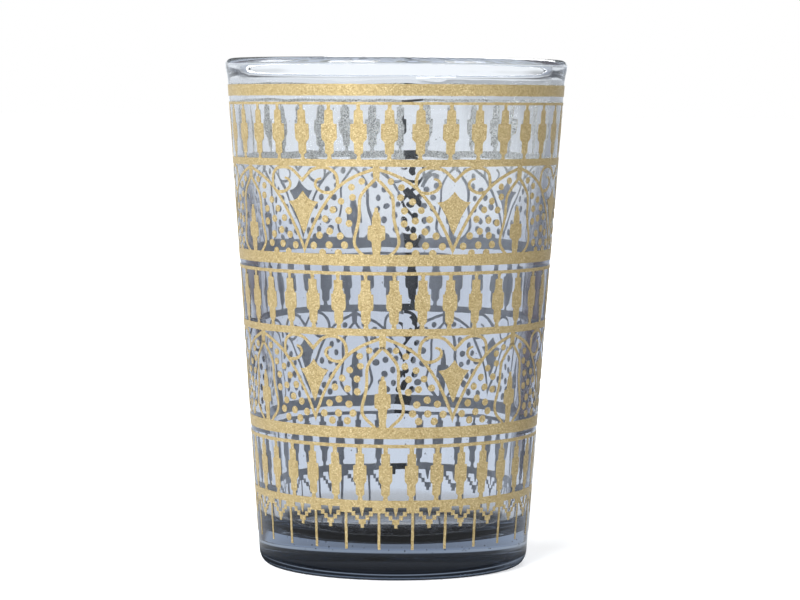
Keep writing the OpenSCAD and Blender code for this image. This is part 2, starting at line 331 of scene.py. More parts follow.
# %% [markdown]
# ## The lamps
#
# Four soft boxes light the gold and cast the shadow: a large one in front on the left, a weak
# one on the right, and one each from the left and the back for the edges. A lamp seen through
# the foot would be a bright patch there, so none is seen by the camera or through the glass.

# %% Lamps
LAMPS = [("front_left", (-0.66, -1.12, 0.75), (0.8, 0.8), 30),
    ("front_right", (0.98, -0.86, 0.75), (0.7, 0.7), 12),
    ("left", (-1.25, 0.1, 0.7), (0.6, 0.6), 9), ("back", (0.3, 1.3, 0.9), (0.9, 0.6), 12)]
GLASS_MIDDLE = Vector((0, 0, 0.05))
for name, place, size, watts in LAMPS:
    lamp = bpy.data.lights.new(name, "AREA")
    lamp.shape = "RECTANGLE"
    lamp.size, lamp.size_y = size
    lamp.energy = watts
    box = bpy.data.objects.new(name, lamp)
    bpy.context.scene.collection.objects.link(box)
    box.location = place
    box.rotation_euler = (GLASS_MIDDLE - Vector(place)).to_track_quat("-Z", "Y").to_euler()
    box.visible_camera = False
    box.visible_transmission = False
print("lamps:", len(LAMPS))

# %% [markdown]
# ## The glass
#
# Such a glass is blown or pressed in a mould and its lip is melted round in a flame. It is a
# body of revolution, so half of its section says everything: the hollow under the foot, the
# ring that it stands on, the rounded heel, the straight taper, the slight bead at the lip, and
# inside the wall that thickens downward into a rounded floor. A cylinder with a bevel would
# give the outside, but the thickness of the wall decides how the print behind is bent, so the
# section is drawn whole, from the middle of the foot round to the middle of the inner floor.

# %% The glass's sizes
RIM_R = 30.4 * MM
BASE_R = 24.0 * MM
RIM_WALL = 2.0 * MM
FOOT_WALL = 3.6 * MM
LIP_BEAD = 0.25 * MM
LIP_BEAD_H = 3.8 * MM
FLOOR_T = 6.0 * MM
FLOOR_FILLET = 4.2 * MM
HEEL_W = 1.5 * MM
HEEL_H = 2.5 * MM
PUNT_H = 1.0 * MM
FOOT_RING_W = 4.0 * MM
EDGE_STEPS = 18
WALL_STEPS = 60
FLOOR_STEPS = 8
TURN_STEPS = 360
TAPER = math.atan((RIM_R - BASE_R) / GLASS_H)
MERGE_GAP = 0.001 * MM


def cone_r(z):
    return BASE_R + (RIM_R - BASE_R) * z / GLASS_H


# %% Where the parts of the section meet
def arc(x, z, r, start, end, steps=EDGE_STEPS):
    turns = [math.radians(start + (end - start) * i / steps) for i in range(steps + 1)]
    return [(x + r * math.cos(a), z + r * math.sin(a)) for a in turns]


LIP_R = (RIM_WALL + LIP_BEAD) / 2
LIP_Z = GLASS_H - LIP_R
FILLET_Z = FLOOR_T + FLOOR_FILLET
INNER_FOOT_R = cone_r(FILLET_Z) - FOOT_WALL
INNER_LIP_R = cone_r(LIP_Z) + LIP_BEAD - 2 * LIP_R
HEEL_TURN = -math.atan(math.tan(TAPER) * HEEL_H / HEEL_W)
HEEL_X = cone_r(HEEL_H * (1 + math.sin(HEEL_TURN))) - HEEL_W * math.cos(HEEL_TURN)
PUNT_R = HEEL_X - FOOT_RING_W
WALL_TILT = math.atan((INNER_LIP_R - INNER_FOOT_R) / (LIP_Z - FILLET_Z))


# %% The section, from the hollow under the foot round to the inner floor
def glass_profile():
    points = []
    for i in range(EDGE_STEPS + 1):
        s = i / EDGE_STEPS
        points.append((PUNT_R * s, PUNT_H * (1 - s * s)))
    heel = []
    for i in range(EDGE_STEPS + 1):
        turn = -math.pi / 2 + (HEEL_TURN + math.pi / 2) * i / EDGE_STEPS
        heel.append((HEEL_X + HEEL_W * math.cos(turn), HEEL_H * (1 + math.sin(turn))))
    points += heel
    z_heel = heel[-1][1]
    z_bead = GLASS_H - LIP_BEAD_H
    for i in range(1, WALL_STEPS):
        z = z_heel + (z_bead - z_heel) * i / WALL_STEPS
        points.append((cone_r(z), z))
    for i in range(EDGE_STEPS):
        s = i / EDGE_STEPS
        z = z_bead + (LIP_Z - z_bead) * s
        points.append((cone_r(z) + LIP_BEAD * (3 - 2 * s) * s * s, z))
    points += arc(cone_r(LIP_Z) + LIP_BEAD - LIP_R, LIP_Z, LIP_R, 0, 180)
    for i in range(1, WALL_STEPS):
        s = i / WALL_STEPS
        z = LIP_Z + (FILLET_Z - LIP_Z) * s
        points.append((INNER_LIP_R + (INNER_FOOT_R - INNER_LIP_R) * s, z))
    fillet_x = INNER_FOOT_R - FLOOR_FILLET * math.cos(WALL_TILT)
    points += arc(fillet_x, FILLET_Z, FLOOR_FILLET, -math.degrees(WALL_TILT), -90)
    points += [(fillet_x * (1 - i / FLOOR_STEPS), FLOOR_T) for i in range(1, FLOOR_STEPS + 1)]
    return points


print("points of the section:", len(glass_profile()))


# %% [markdown]
# `turned` works like a lathe. A small plane is merged to one point, the point is extruded along
# the section, and the line is spun once round the axis. A Screw modifier would do the same, but
# the spin leaves a plain mesh whose seam and poles are closed by merging doubles.

# %% Turning a section
def turned(name, points):
    deselect_all()
    bpy.ops.mesh.primitive_plane_add(size=1 * MM, location=(0, 0, 0))
    piece = bpy.context.object
    piece.name = name
    bpy.ops.object.mode_set(mode="EDIT")
    bpy.ops.mesh.select_all(action="SELECT")
    bpy.ops.mesh.merge(type="CENTER")
    x0, z0 = points[0]
    bpy.ops.transform.translate(value=(x0, 0, z0))
    last = points[0]
    for point in points[1:]:
        step = (point[0] - last[0], 0, point[1] - last[1])
        bpy.ops.mesh.extrude_region_move(TRANSFORM_OT_translate={"value": step})
        last = point
    bpy.ops.mesh.select_all(action="SELECT")
    bpy.ops.mesh.spin(steps=TURN_STEPS, angle=2 * math.pi, center=(0, 0, 0), axis=(0, 0, 1))
    bpy.ops.mesh.select_all(action="SELECT")
    bpy.ops.mesh.remove_doubles(threshold=MERGE_GAP)
    bpy.ops.mesh.normals_make_consistent(inside=False)
    bpy.ops.object.mode_set(mode="OBJECT")
    bpy.ops.object.shade_smooth()
    return piece


# %% [markdown]
# The inside of such a glass is never as true as the outside, which touched the mould. A wave a
# few hundredths of a millimetre high makes the print behind it wander as it should, and finer
# upright streaks, as the glass was drawn, break up the grey strips at the two sides. Both are
# real changes of the mesh, so that they also bend light from other sides.

# %% The glass body
WAVE_H, WAVE_L = 0.035 * MM, 5.0 * MM
STREAK_H, STREAK_L, STREAK_TALL = 0.009 * MM, 1.5 * MM, 14.0 * MM
INSIDE_BY = 1 * MM
glass = turned("tea_glass_body", glass_profile())
for vertex in glass.data.vertices:
    r = math.hypot(vertex.co.x, vertex.co.y)
    if vertex.co.z > FLOOR_T + INSIDE_BY and r < cone_r(vertex.co.z) - INSIDE_BY:
        wave = noise.noise(vertex.co / WAVE_L) * WAVE_H
        along = Vector((vertex.co.x / STREAK_L, vertex.co.y / STREAK_L, vertex.co.z / STREAK_TALL))
        wave += noise.noise(along) * STREAK_H
        vertex.co.x *= 1 + wave / r
        vertex.co.y *= 1 + wave / r

# %% [markdown]
# ## Bubbles
#
# Cheap glass is full of seeds, tiny bubbles that show as dark and bright specks. Each one is a
# small ball, drawn out upward a little, whose faces point into it, because there the glass
# ends. One ball is modelled and copied. They are joined into the body: as pieces of their own
# they would be balls of glass inside glass, and would not be seen. A ball this small needs only
# a few faces.

# %% One bubble
deselect_all()
bpy.ops.mesh.primitive_uv_sphere_add(segments=6, ring_count=4, radius=1.0, location=(0, 0, 0))
first = bpy.context.object
bpy.ops.object.mode_set(mode="EDIT")
bpy.ops.mesh.select_all(action="SELECT")
bpy.ops.mesh.flip_normals()
bpy.ops.object.mode_set(mode="OBJECT")
bpy.ops.object.shade_smooth()
print("faces of a bubble:", len(first.data.polygons))

# %% Bubbles in wall and foot
BUBBLES = 800
BUBBLE_SIZES = (0.05, 0.06, 0.07, 0.09, 0.12)
FOOT_EVERY = 6
FOOT_Z, FOOT_DEPTH = (1.5, 5.0), (0.4, 16)
WALL_Z, WALL_DEPTH = (8, 86), (0.4, 1.6)
DRAWN_OUT = (1.0, 1.6)
chance = random.Random(7)
seeds = []
for i in range(BUBBLES):
    in_foot = i % FOOT_EVERY == 0
    z = chance.uniform(*(FOOT_Z if in_foot else WALL_Z)) * MM
    turn = chance.uniform(0, 2 * math.pi)
    r = cone_r(z) - chance.uniform(*(FOOT_DEPTH if in_foot else WALL_DEPTH)) * MM
    size = chance.choice(BUBBLE_SIZES) * MM
    seed = first.copy()
    seed.data = first.data.copy()
    bpy.context.scene.collection.objects.link(seed)
    seed.location = (r * math.sin(turn), -r * math.cos(turn), z)
    seed.scale = (size, size, size * chance.uniform(*DRAWN_OUT))
    seeds.append(seed)
bpy.data.objects.remove(first)

# %% Joining the bubbles into the body
bpy.context.view_layer.update()
pick(glass)
for seed in seeds:
    seed.select_set(True)
bpy.ops.object.join()
triangles = sum(len(face.vertices) - 2 for face in glass.data.polygons)
print("glass body:", len(glass.data.vertices), "vertices,", triangles, "triangles")

# %% [markdown]
# ## The glass's finish
#
# The surface is clean and clear, so the shader has no colour and no roughness. The tint comes
# from the depth: light loses a little red on each millimetre, so the wall stays clear while the
# foot goes slate blue. That is absorption in the volume. A tinted surface would colour thin and
# thick places alike.

# %% Glass finish
ABSORB_TINT = (0.36, 0.44, 0.55, 1)
ABSORB_DENSITY = 50.0
GLASS_IOR = 1.5
clear_glass = new_material("tinted glass")
surface = add(clear_glass, "ShaderNodeBsdfGlass", Color=WHITE, Roughness=0.0, IOR=GLASS_IOR)
depth = add(clear_glass, "ShaderNodeVolumeAbsorption", Color=ABSORB_TINT, Density=ABSORB_DENSITY)
glass_out = add(clear_glass, "ShaderNodeOutputMaterial")
join(clear_glass, surface.outputs[0], glass_out.inputs["Surface"])
join(clear_glass, depth.outputs[0], glass_out.inputs["Volume"])
glass.data.materials.append(clear_glass)
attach(glass, "root")
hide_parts("glass_body")

# %% [markdown]
# ## The gold's finish
#
# Fired gold is a matt skin of tiny flakes, not a mirror: pale and dark grains a fifth of a
# millimetre across, with hardly a highlight. Each grain is one cell of a Voronoi pattern with
# a flat chance colour, softened a little by noise and sent through a ramp from brown to straw.
# A bump would glitter, and the real one doesn't.

# %% The gold's grain
FLAKE_SCALE = 7000.0
MOTTLE_SCALE, MOTTLE_SHARE = 4300.0, 0.12
gold = new_material("fired gold")
gold_at = add(gold, "ShaderNodeTexCoord").outputs["Object"]
flakes = add(gold, "ShaderNodeTexVoronoi", Scale=FLAKE_SCALE)
join(gold, gold_at, flakes.inputs["Vector"])
flake_light = add(gold, "ShaderNodeSeparateColor")
join(gold, flakes.outputs["Color"], flake_light.inputs[0])
mottle = add(gold, "ShaderNodeTexNoise", Scale=MOTTLE_SCALE, Detail=2.0, Roughness=0.6)
join(gold, gold_at, mottle.inputs["Vector"])
grain_mix = add(gold, "ShaderNodeMix", data_type="FLOAT")
for value, i in ((MOTTLE_SHARE, 0), (flake_light.outputs[0], 2), (mottle.outputs[0], 3)):
    join(gold, value, grain_mix.inputs[i])
grain = grain_mix.outputs[0]

# %% The gold's outer face
GOLD_TONES = [(0.06, (0.34, 0.24, 0.095)), (0.25, (0.455, 0.34, 0.155)),
    (0.5, (0.53, 0.41, 0.20)), (0.78, (0.61, 0.48, 0.25)), (0.95, (0.82, 0.70, 0.42))]
GOLD_METAL, GOLD_ROUGH, GOLD_SHINE = 0.5, 0.45, 0.2
gold_face = add(gold, "ShaderNodeBsdfPrincipled", Metallic=GOLD_METAL, Roughness=GOLD_ROUGH)
gold_face.inputs["Specular IOR Level"].default_value = GOLD_SHINE
join(gold, tinted(gold, grain, GOLD_TONES), gold_face.inputs["Base Color"])
print("gold tones:", len(GOLD_TONES))

# %% [markdown]
# Seen from inside, through the far wall, the same film is grey: it is the back of the flakes,
# and a painted glow in it stands in for the daylight that comes through them from behind. It is
# darkest along the seam, where the two ends of the print lap over each other in a ragged line,
# and near the rim the underside turns speckled and its painted glow brighter and warmer. So the
# face that looks toward the axis gets a shader of its own.

# %% Where the ends of the print lap
LAP_RISE = (0.015, 0.045)
LAP_X = (0.0012, 0.0033)
LAP_REACH, LAP_EDGE = 0.0030, (0.0031, 0.0034)
LAP_LIGHT = 0.07
RAGGED_SCALE = 600.0
gold_x, gold_y, gold_z = parts_of(gold, gold_at)
lap_x = eased(gold, gold_z, *LAP_RISE, *LAP_X)
off_lap = reckoned(gold, "ABSOLUTE", reckoned(gold, "SUBTRACT", gold_x, lap_x))
ragged = add(gold, "ShaderNodeTexNoise", Scale=RAGGED_SCALE, Detail=3.0)
join(gold, gold_at, ragged.inputs["Vector"])
ragged_edge = reckoned(gold, "MULTIPLY_ADD", ragged.outputs[0], LAP_REACH, off_lap)
beside_lap = eased(gold, ragged_edge, *LAP_EDGE, LAP_LIGHT, 1.0)
lap_light = reckoned(gold, "MAXIMUM", beside_lap, reckoned(gold, "LESS_THAN", gold_y, 0.0))

# %% Specks in the underside near the rim
SPECK_RISE, SPECKS = (0.066, 0.074), (0.08, 0.75)
speckled = eased(gold, gold_z, *SPECK_RISE, *SPECKS)
speck = reckoned(gold, "MULTIPLY_ADD", grain, 2.0, -1.0)
under_grain = reckoned(gold, "MULTIPLY_ADD", speck, speckled, 1.0)
under_light = reckoned(gold, "MULTIPLY", lap_light, under_grain)

# %% The underside: its skin, and a painted glow for the daylight in it
# The two glow colours are painted light, the second one near the rim
UNDER_GREY = (0.62, 0.64, 0.68)
UNDER_PAINTED_GLOW = (0.052, 0.057, 0.068, 1)
RIM_PAINTED_GLOW = (0.25, 0.252, 0.22, 1)
PAINTED_GLOW_RISE = (0.066, 0.072)
under_tint = add(gold, "ShaderNodeVectorMath", operation="SCALE")
under_tint.inputs[0].default_value = UNDER_GREY
join(gold, under_light, under_tint.inputs["Scale"])
under_skin = add(gold, "ShaderNodeBsdfDiffuse")
join(gold, under_tint.outputs[0], under_skin.inputs["Color"])
# Painted light: this emission makes the back of the gold glow, standing in for daylight through the
# film
painted_daylight = add(gold, "ShaderNodeEmission")
painted_glow_colour = mixed(gold, eased(gold, gold_z, *PAINTED_GLOW_RISE), UNDER_PAINTED_GLOW, RIM_PAINTED_GLOW)
join(gold, painted_glow_colour, painted_daylight.inputs["Color"])
join(gold, under_light, painted_daylight.inputs["Strength"])
underside = summed(gold, under_skin.outputs[0], painted_daylight.outputs[0])

# %% Which face looks outward
LEVEL = (1, 1, 0)
OUTWARD_FROM = -0.005
geometry = add(gold, "ShaderNodeNewGeometry")
outward = add(gold, "ShaderNodeVectorMath", operation="MULTIPLY")
join(gold, gold_at, outward.inputs[0])
join(gold, LEVEL, outward.inputs[1])
facing = add(gold, "ShaderNodeVectorMath", operation="DOT_PRODUCT")
join(gold, outward.outputs[0], facing.inputs[0])
join(gold, geometry.outputs["True Normal"], facing.inputs[1])
is_outer = reckoned(gold, "GREATER_THAN", facing.outputs["Value"], OUTWARD_FROM)
gold_out = add(gold, "ShaderNodeOutputMaterial")
join(gold, blended(gold, is_outer, underside, gold_face.outputs[0]), gold_out.inputs["Surface"])
print("gold nodes:", len(gold.node_tree.nodes))

# %% [markdown]
# ## The print
#
# On a real glass the gold comes off a printed sheet that is wrapped round the cone and fired.
# Each motif is drawn here the same way: flat first, as an outline traced point by point, filled
# and given its thin film. X runs round the glass, Z is the height, and -Y faces outward. Each
# kind of motif lies at a slightly different depth, so that no two films share a face where they
# lap over each other.

# %% Registers of the print, from the top down
BARE_RIM_H = 4.6 * MM
BAND_H = 1.98 * MM
GAP_H = 1.06 * MM
LINE_H = 0.46 * MM
BALUSTER_H = 9.26 * MM
RING_H = 1.23 * MM
ARCADE_H = 15.8 * MM
UPPER_LAP = 0.85 * MM
PRINT_TOP = GLASS_H - BARE_RIM_H
registers = {}
level = PRINT_TOP
for row in ("rim", "middle", "lower"):
    registers[row + "_band"] = (level, level - BAND_H)
    level -= BAND_H + GAP_H
    registers[row + "_line"] = (level, level - LINE_H)
    level -= LINE_H
    balusters = {"rim": "upper_balusters"}.get(row, row + "_balusters")
    registers[balusters] = (level, level - BALUSTER_H)
    level -= BALUSTER_H
    ring = {"rim": "upper_ring"}.get(row, row + "_ring")
    registers[ring] = (level, level - RING_H)
    level -= RING_H
    if row == "rim":
        registers["upper_arcade"] = (level, level - ARCADE_H)
        level -= ARCADE_H - UPPER_LAP
    if row == "middle":
        registers["lower_arcade"] = (level, level - ARCADE_H)
        level -= ARCADE_H
HEM_TOP = level
FILM = {"hoop": (0.038 * MM, 0.07 * MM), "post": (0.03 * MM, 0.058 * MM),
    "stroke": (0.03 * MM, 0.06 * MM), "finials": (0.026 * MM, 0.055 * MM),
    "diamonds": (0.034 * MM, 0.065 * MM), "dots": (0.033 * MM, 0.063 * MM),
    "shred": (0.022 * MM, 0.05 * MM), "stick": (0.034 * MM, 0.066 * MM)}
print("hem from", round(HEM_TOP / MM, 2))

# %% [markdown]
# The outlines are lists of points. A curve object could be traced instead, but points in a
# list can be mirrored, spaced and given as shares of a bay. `smoothed` runs a soft line through
# a few points, `ribbon` gives a line its width, and `closer` adds points along long edges, so
# that they can bend round the glass and look a little uneven.

# %% Drawing helpers
CURVE_STEPS = 8
POINT_GAP = 0.35 * MM
TIP_POWER = 6


def smoothed(points, steps=CURVE_STEPS):
    out = []
    last = len(points) - 1
    for i in range(last):
        a, b = points[max(i - 1, 0)], points[i]
        c, d = points[i + 1], points[min(i + 2, last)]
        for k in range(steps):
            t = k / steps
            out.append(tuple(0.5 * (2 * b[j] + (c[j] - a[j]) * t
                + (2 * a[j] - 5 * b[j] + 4 * c[j] - d[j]) * t * t
                + (3 * b[j] - a[j] - 3 * c[j] + d[j]) * t ** 3) for j in (0, 1)))
    return out + [tuple(points[last])]


def ribbon(line, width, tip=1.0):
    left, right = [], []
    last = len(line) - 1
    for i, (x, z) in enumerate(line):
        ahead, behind = line[min(i + 1, last)], line[max(i - 1, 0)]
        dx, dz = ahead[0] - behind[0], ahead[1] - behind[1]
        length = math.hypot(dx, dz)
        reach = width / 2 * (1 - (1 - tip) * (i / last) ** TIP_POWER)
        left.append((x - dz / length * reach, z + dx / length * reach))
        right.append((x + dz / length * reach, z - dx / length * reach))
    return left + right[::-1]


# %% More points, and the other side
def closer(outline, gap=POINT_GAP):
    out = []
    for a, b in zip(outline, outline[1:] + outline[:1]):
        parts = max(1, round(math.dist(a, b) / gap))
        out += [tuple(a[j] + (b[j] - a[j]) * k / parts for j in (0, 1)) for k in range(parts)]
    return out


def both_sides(side):
    return side + [(-x, z) for x, z in side[::-1]]


# %% [markdown]
# `traced` starts every drawn piece. A plane is merged to one point, the point is extruded along
# the outline, the loop is filled with one face and the face is extruded to the film's thickness.
# The film starts a hair inside the glass, so that no two faces lie in the same place.

# %% Tracing a flat piece
def traced(name, outline, film):
    inner, outer = film
    deselect_all()
    bpy.ops.mesh.primitive_plane_add(size=1 * MM, location=(0, 0, 0))
    piece = bpy.context.object
    piece.name = name
    bpy.ops.object.mode_set(mode="EDIT")
    bpy.ops.mesh.select_all(action="SELECT")
    bpy.ops.mesh.merge(type="CENTER")
    bpy.ops.transform.translate(value=(outline[0][0], inner, outline[0][1]))
    for a, b in zip(outline, outline[1:]):
        step = (b[0] - a[0], 0, b[1] - a[1])
        bpy.ops.mesh.extrude_region_move(TRANSFORM_OT_translate={"value": step})
    bpy.ops.mesh.select_all(action="SELECT")
    bpy.ops.mesh.edge_face_add()
    bpy.ops.mesh.extrude_region_move(TRANSFORM_OT_translate={"value": (0, -inner - outer, 0)})
    bpy.ops.mesh.select_all(action="SELECT")
    bpy.ops.mesh.normals_make_consistent(inside=False)
    bpy.ops.object.mode_set(mode="OBJECT")
    return piece


# %% [markdown]
# A large flat face can't follow the cone. Each drawn piece is therefore cut into upright strips
# with the bisect tool, as a sheet of paper is creased to go round a cup. Mirror and Array
# repeat it, and their results are applied at once.

# %% Joining, cutting and repeating
def joined(name, pieces):
    pick(pieces[0])
    for piece in pieces[1:]:
        piece.select_set(True)
    bpy.ops.object.join()
    pieces[0].name = name
    return pieces[0]


def cut(piece, x, clear="", fill=False):
    pick(piece)
    bpy.ops.object.mode_set(mode="EDIT")
    bpy.ops.mesh.select_all(action="SELECT")
    bpy.ops.mesh.bisect(plane_co=(x, 0, 0), plane_no=(1, 0, 0), use_fill=fill,
        clear_outer=clear == "right", clear_inner=clear == "left")
    bpy.ops.object.mode_set(mode="OBJECT")


STRIP_W, MOTIF_STRIP_W, HEM_STRIP_W = 1.1 * MM, 0.7 * MM, 0.9 * MM


def strips(piece, low, high, width=STRIP_W):
    count = max(1, math.ceil((high - low) / width))
    for i in range(1, count):
        cut(piece, low + (high - low) * i / count)


# %% Modifiers that are applied at once
def applied(piece, kind, **values):
    pick(piece)
    modifier = piece.modifiers.new("step", kind)
    for key, value in values.items():
        setattr(modifier, key, value)
    bpy.ops.object.modifier_apply(modifier=modifier.name)


WELD_GAP = 0.004 * MM


def repeated(piece, count, pitch, merge=False):
    applied(piece, "ARRAY", count=count, use_relative_offset=False, use_constant_offset=True,
        constant_offset_displace=(pitch, 0, 0), use_merge_vertices=merge,
        merge_threshold=WELD_GAP)


# %% [markdown]
# Blender's own tools can't lay a flat drawing on a cone and keep its heights and its widths, so
# `rolled` moves the finished points itself: the distance along X becomes an angle, and the film
# keeps its distance from the cone. A small noise makes the edges uneven, as in a fired print.
# Without a seed of its own that noise starts from the clock, and each run would draw another
# edge.

# %% Laying the print on the glass
EDGE_NOISE = 0.045 * MM
EDGE_GRAIN = 1.3 * MM
FINER, FINE_SHARE = 3.1, 0.6
PRINT_SKEW = 0.1 * MM
SHARP_EDGE = math.radians(35)
EDGE_SEED = 11
noise.seed_set(EDGE_SEED)


def uneven(co):
    coarse = noise.noise_vector(co / EDGE_GRAIN) * EDGE_NOISE
    fine = noise.noise_vector(co / EDGE_GRAIN * FINER) * EDGE_NOISE * FINE_SHARE
    return coarse + fine + Vector((0, 0, PRINT_SKEW * co.x / RIM_R))


# %% [markdown]
# A wet print stretches and creeps as it is laid, most of all near its two ends. The motifs at
# the back sit up to seven degrees away from where an even spacing puts them, as far as they can
# be seen through the front. A table per row gives the shift at a few angles.

# %% How far the print has crept
CREEP = {
    "upper_balusters": [(-190, 5.7), (-167, 6.6), (-146, 7.0), (-125, 5.4), (-90, 0), (90, 0),
        (130, -3.6), (162, -4.0), (184, -5.2)],
    "upper": [(-195, 5.5), (-168, 5.5), (-141, 3.6), (-90, 0), (190, 0)],
    "middle_balusters": [(-190, 5.6), (-173, 4.7), (-143, 3.1), (-132, 2.4), (-110, 0), (190, 0)],
    "lower": [(-195, 4.0), (-166, 4.0), (-139, 2.6), (-90, 0), (190, 0)],
    "lower_balusters": [(-190, 2.7), (-175, 2.3), (-150, 0.3), (-120, 0), (150, 0), (169, -1.0),
        (190, -1.0)]}
GUESSES = 20


def crept(row, degrees):
    knots = CREEP.get(row, [(-200, 0), (200, 0)])
    for (a, shift_a), (b, shift_b) in zip(knots, knots[1:]):
        if degrees <= b:
            return degrees + shift_a + (shift_b - shift_a) * (degrees - a) / (b - a)
    return degrees + knots[-1][1]


def drawn_at(row, degrees):
    guess = degrees
    for i in range(GUESSES):
        guess += degrees - crept(row, guess)
    return guess


# %% Rolling a flat piece onto the cone
def rolled(piece, first_at, mid_r, row=""):
    for vertex in piece.data.vertices:
        x, y, z = vertex.co
        turn = math.radians(crept(row, first_at + math.degrees(x / mid_r)))
        r = cone_r(z)
        shift = uneven(Vector((r * math.sin(turn), -r * math.cos(turn), z)))
        turn += shift.x / r
        z += shift.z
        r = cone_r(z) - y
        vertex.co = (r * math.sin(turn), -r * math.cos(turn), z)
    pick(piece)
    bpy.ops.object.shade_smooth_by_angle(angle=SHARP_EDGE)
    return piece


def gilded(piece, node_name):
    piece.data.materials.clear()
    piece.data.materials.append(gold)
    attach(piece, "root")
    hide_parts(node_name)


# %% [markdown]
# ## The bands, lines and rings
#
# Each is a thin hoop: its small section is traced beside the axis and spun all the way round.

# %% Bands, lines and rings
HEAVIER = {"middle_line": 0.06 * MM, "lower_line": 0.07 * MM}


def hoop(name):
    inner, outer = FILM["hoop"]
    top, foot = registers[name]
    top += HEAVIER.get(name, 0)
    foot -= HEAVIER.get(name, 0)
    section = []
    for z, reach in ((foot, -inner), (foot, outer), (top, outer), (top, -inner)):
        section.append((cone_r(z) + reach, z))
    piece = turned(name + "_film", section + section[:1])
    for vertex in piece.data.vertices:
        vertex.co.z += uneven(Vector(vertex.co)).z
    pick(piece)
    bpy.ops.object.shade_smooth_by_angle(angle=SHARP_EDGE)
    gilded(piece, name)
    return piece


for name in registers:
    if name.endswith(("band", "line", "ring")):
        hoop(name)
        print(name, "at", round(registers[name][0] / MM, 2))

# %% [markdown]
# ## The baluster rows
#
# A baluster is one turned post: stem, block, round body, block and stem. One side is traced
# and mirrored, each point as a width, its share, and how far down the row it lies. The three
# rows were drawn apart, so their bodies differ a little. A printed post is drawn in steps, with
# the corners softened by the firing. Array places the posts, as many as fit beside the seam.

# %% Baluster rows
SEAM_AT = 176.1
SEAM_START = SEAM_AT - 360
STEM, BLOCK, BODY = 0.33 * MM, 0.80 * MM, 1.45 * MM
POSTS = {
    "upper_balusters": [(STEM, 1.1, 0), (STEM, 0.9, 0.05), (STEM, 1.1, 0.09), (BLOCK, 0.95, 0.11),
        (BLOCK, 1, 0.23), (BLOCK, 1.05, 0.345), (BODY, 0.98, 0.355), (BODY, 1, 0.48),
        (BODY, 1, 0.6), (BODY, 0.92, 0.64), (BLOCK, 1.15, 0.68), (BLOCK, 1, 0.71),
        (BLOCK, 1, 0.885), (STEM, 1.2, 0.91), (STEM, 0.9, 0.95), (STEM, 1.4, 1)],
    "middle_balusters": [(STEM, 1.2, 0), (STEM, 0.9, 0.05), (STEM, 0.95, 0.098), (BLOCK, 1, 0.104),
        (BLOCK, 1, 0.298), (BLOCK, 1.2, 0.304), (BLOCK, 1.22, 0.358), (BODY, 0.91, 0.364),
        (BODY, 0.92, 0.62), (BODY, 0.86, 0.626), (BODY, 0.84, 0.66), (BLOCK, 1.05, 0.675),
        (BLOCK, 1, 0.87), (BLOCK, 0.78, 0.878), (BLOCK, 0.75, 0.91), (STEM, 1, 0.916),
        (STEM, 1.4, 1)],
    "lower_balusters": [(STEM, 1.3, 0), (STEM, 1.1, 0.05), (STEM, 1.15, 0.116),
        (BLOCK, 0.93, 0.124), (BLOCK, 0.93, 0.335), (BODY, 0.80, 0.345), (BODY, 0.81, 0.62),
        (BODY, 0.74, 0.65),
        (BLOCK, 0.95, 0.695), (BLOCK, 0.93, 0.89), (BLOCK, 0.62, 0.91), (STEM, 1, 0.935),
        (STEM, 1.4, 1)]}
ROWS = {"upper_balusters": (10.29, -2.1), "middle_balusters": (10.17, -0.2),
    "lower_balusters": (10.11, -3.1)}
# %% Tracing and placing the posts
MOST_POSTS = 40
SEAM_ROOM = 0.8


def post_places(name, pitch, at, reach):
    all_places = [at + k * pitch for k in range(-MOST_POSTS, MOST_POSTS + 1)]
    return [place for place in all_places
        if SEAM_START + reach < crept(name, place) < SEAM_AT - reach]


for name, (pitch, at) in ROWS.items():
    top, foot = registers[name]
    mid_r = cone_r((top + foot) / 2)
    side = [(w * s, top - share * BALUSTER_H) for w, s, share in POSTS[name]]
    post = traced(name + "_film", closer(both_sides(side)), FILM["post"])
    strips(post, -BODY, BODY, MOTIF_STRIP_W)
    places = post_places(name, pitch, at, math.degrees(BODY / mid_r) * SEAM_ROOM)
    repeated(post, len(places), math.radians(pitch) * mid_r)
    gilded(rolled(post, places[0], mid_r, name), name)
    print(name, len(places), "posts")

# %% [markdown]
# ## The arcades
#
# Half a bay is drawn once: the arch, the lancet inside it, and the scroll with its curl in the
# spandrel. Each stroke is a ribbon. Laid over each other they would have faces inside each
# other, so a Boolean unites them into one film. The half bay is cut off square, mirrored at
# the apex and repeated round the glass. Places are shares of half a bay and of the height.

# %% The arcades' tracery
BAY = 54.0
BAYS = 8
HALF_BAY = math.radians(BAY / 2)
STROKE_W, STROKE_STEPS = 0.54 * MM, 5
ARCADES = {"upper": -6.5, "lower": -4.3}
ARCH = [(-0.06, -0.006), (0, 0.018), (0.1, 0.048), (0.21, 0.082), (0.33, 0.13), (0.44, 0.188),
    (0.55, 0.27), (0.71, 0.44), (0.84, 0.62), (0.93, 0.77), (1.04, 0.98)]
SPIRE = [(0, 0.0), (0, 0.07), (0, 0.14)]
SPIRE_W = 1.15 * MM
LANCET = [(-0.04, -0.03), (0.0, 0.11), (0.05, 0.165), (0.135, 0.24), (0.2, 0.32), (0.218, 0.42),
    (0.22, 0.54), (0.25, 0.66), (0.283, 0.76), (0.285, 0.84), (0.235, 0.91), (0.15, 0.97),
    (0.08, 1.03)]
SCROLL = [(1.05, 0.18), (1, 0.15), (0.93, 0.095), (0.85, 0.04), (0.74, 0.012), (0.62, 0.02),
    (0.54, 0.06), (0.505, 0.125), (0.5, 0.21)]
CURL = [(0.5, 0.215), (0.55, 0.268), (0.63, 0.285), (0.72, 0.272), (0.79, 0.23),
    (0.807, 0.185), (0.775, 0.145), (0.72, 0.13)]


# %% Placing, repeating and cutting at the seam
SEAM_HAIR = 0.001


def placed(shares, top, mid_r):
    return [(x * HALF_BAY * mid_r, top - depth * ARCADE_H) for x, depth in shares]


